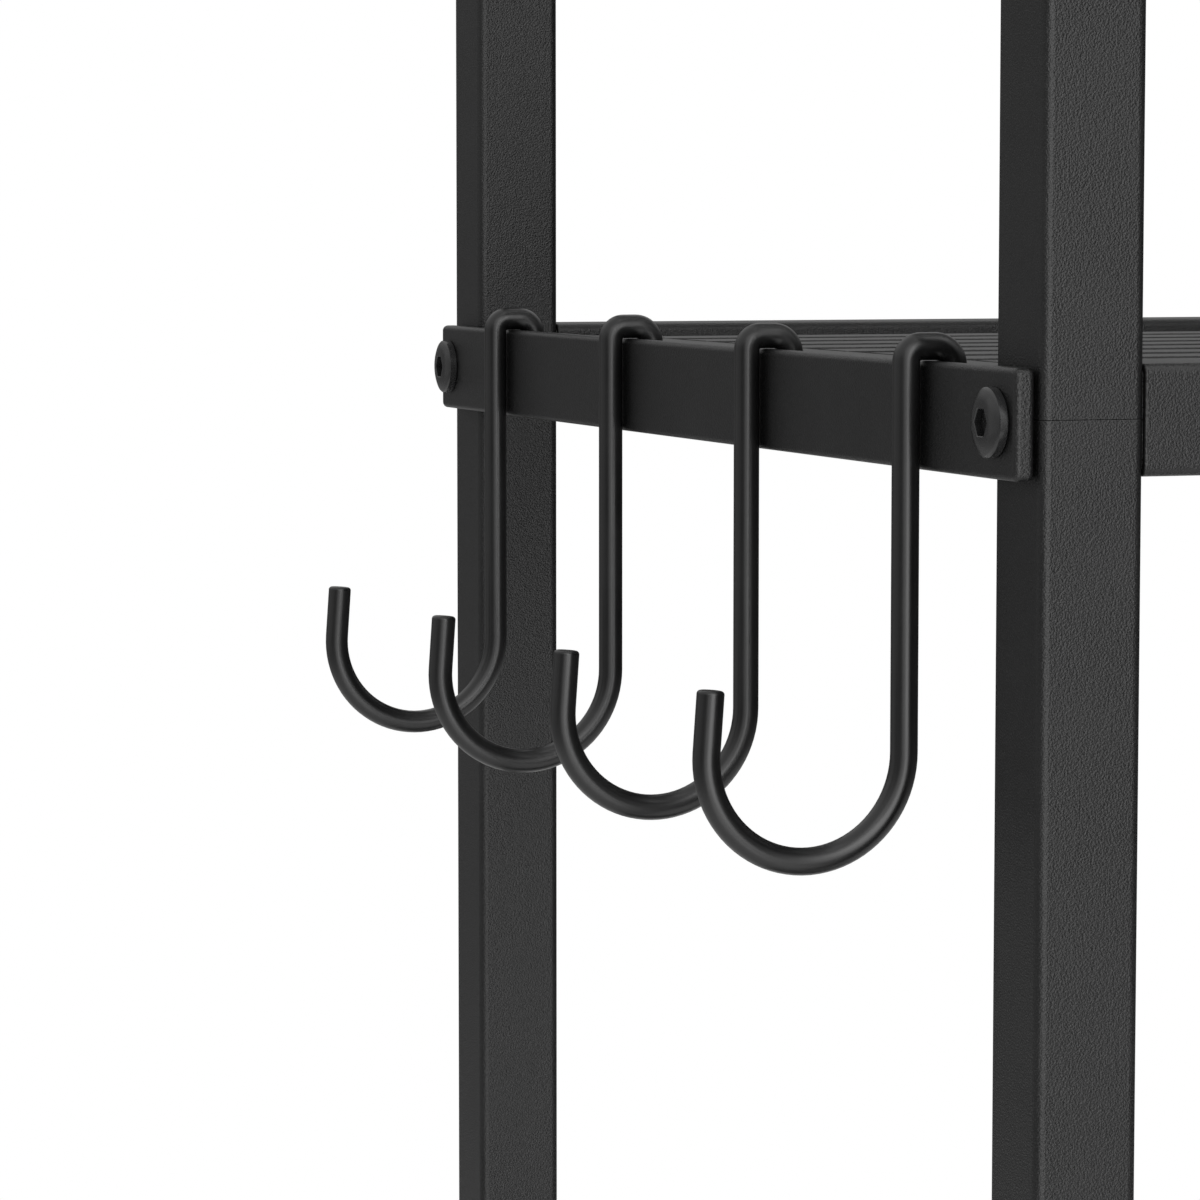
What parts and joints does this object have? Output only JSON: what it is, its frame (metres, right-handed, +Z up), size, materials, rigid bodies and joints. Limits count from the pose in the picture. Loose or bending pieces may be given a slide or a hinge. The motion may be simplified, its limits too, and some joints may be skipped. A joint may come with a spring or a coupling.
{
  "type": "hall tree",
  "caption": "Tall black steel hall tree: square-tube posts, slatted shoe shelf, bench, hat shelf and top shelf, and a side bar with sliding J hooks.",
  "frame": {"origin": "on the floor, in the middle of the overall box, hooks and bolt heads included", "axes": "+X to the right, the hook bar is on the -X side; +Y towards the wall behind; +Z up"},
  "size_m": [0.8642, 0.425, 1.8],
  "materials": {
    "black_powder_coat": "fine textured matt black powder coat",
    "smooth_black_coat": "smooth satin black powder coat",
    "black_bolts": "satin black finish on turned steel",
    "zinc_steel": "zinc-plated steel",
    "black_plastic": "moulded matt black nylon"
  },
  "bodies": {
    "rack": {"front_left_post_lower": "black_powder_coat", "front_left_post_middle": "black_powder_coat", "front_left_post_upper": "black_powder_coat", "front_right_post_lower": "black_powder_coat", "front_right_post_middle": "black_powder_coat", "front_right_post_upper": "black_powder_coat", "rear_left_post_lower": "black_powder_coat", "rear_left_post_middle": "black_powder_coat", "rear_left_post_upper": "black_powder_coat", "rear_right_post_lower": "black_powder_coat", "rear_right_post_middle": "black_powder_coat", "rear_right_post_upper": "black_powder_coat", "bench_post_sleeves": "zinc_steel", "hat_shelf_post_sleeves": "zinc_steel", "post_caps": "black_plastic", "foot_inserts": "black_plastic", "shoe_shelf_front_rail": "black_powder_coat", "shoe_shelf_rear_rail": "black_powder_coat", "shoe_shelf_left_rail": "black_powder_coat", "shoe_shelf_right_rail": "black_powder_coat", "shoe_shelf_slats": "black_powder_coat", "bench_front_rail": "black_powder_coat", "bench_rear_rail": "black_powder_coat", "bench_left_rail": "black_powder_coat", "bench_right_rail": "black_powder_coat", "bench_slats": "black_powder_coat", "hat_shelf_front_rail": "black_powder_coat", "hat_shelf_rear_rail": "black_powder_coat", "hat_shelf_left_rail": "black_powder_coat", "hat_shelf_right_rail": "black_powder_coat", "hat_shelf_slats": "black_powder_coat", "top_shelf_front_rail": "black_powder_coat", "top_shelf_rear_rail": "black_powder_coat", "top_shelf_left_rail": "black_powder_coat", "top_shelf_right_rail": "black_powder_coat", "top_shelf_slats": "black_powder_coat", "rail_nuts": "zinc_steel", "shelf_bolts": "black_bolts", "hook_bar": "black_powder_coat", "hook_bar_bolts": "black_bolts", "hook_bar_washers": "black_plastic", "wall_bracket_left": "zinc_steel", "wall_bracket_right": "zinc_steel", "wall_bracket_screws": "zinc_steel"},
    "hook_1": {"hook_1": "smooth_black_coat"},
    "hook_2": {"hook_2": "smooth_black_coat"},
    "hook_3": {"hook_3": "smooth_black_coat"},
    "hook_4": {"hook_4": "smooth_black_coat"},
    "foot_front_left": {"foot_pad_front_left": "black_plastic", "foot_stud_front_left": "zinc_steel"},
    "foot_front_right": {"foot_pad_front_right": "black_plastic", "foot_stud_front_right": "zinc_steel"},
    "foot_rear_left": {"foot_pad_rear_left": "black_plastic", "foot_stud_rear_left": "zinc_steel"},
    "foot_rear_right": {"foot_pad_rear_right": "black_plastic", "foot_stud_rear_right": "zinc_steel"}
  },
  "joints": [
    {"name": "hook_1_slide", "type": "slide", "parent": "rack", "child": "hook_1", "axis": [0, 1, 0], "range_m": [-0.0252, 0.0466]},
    {"name": "hook_2_slide", "type": "slide", "parent": "rack", "child": "hook_2", "axis": [0, 1, 0], "range_m": [-0.0466, 0.0466]},
    {"name": "hook_3_slide", "type": "slide", "parent": "rack", "child": "hook_3", "axis": [0, 1, 0], "range_m": [-0.0466, 0.0466]},
    {"name": "hook_4_slide", "type": "slide", "parent": "rack", "child": "hook_4", "axis": [0, 1, 0], "range_m": [-0.0466, 0.039]},
    {"name": "foot_front_left_screw", "type": "slide", "parent": "rack", "child": "foot_front_left", "axis": [0, 0, -1], "range_m": [0, 0.01]},
    {"name": "foot_front_right_screw", "type": "slide", "parent": "rack", "child": "foot_front_right", "axis": [0, 0, -1], "range_m": [0, 0.01]},
    {"name": "foot_rear_left_screw", "type": "slide", "parent": "rack", "child": "foot_rear_left", "axis": [0, 0, -1], "range_m": [0, 0.01]},
    {"name": "foot_rear_right_screw", "type": "slide", "parent": "rack", "child": "foot_rear_right", "axis": [0, 0, -1], "range_m": [0, 0.01]}
  ]
}
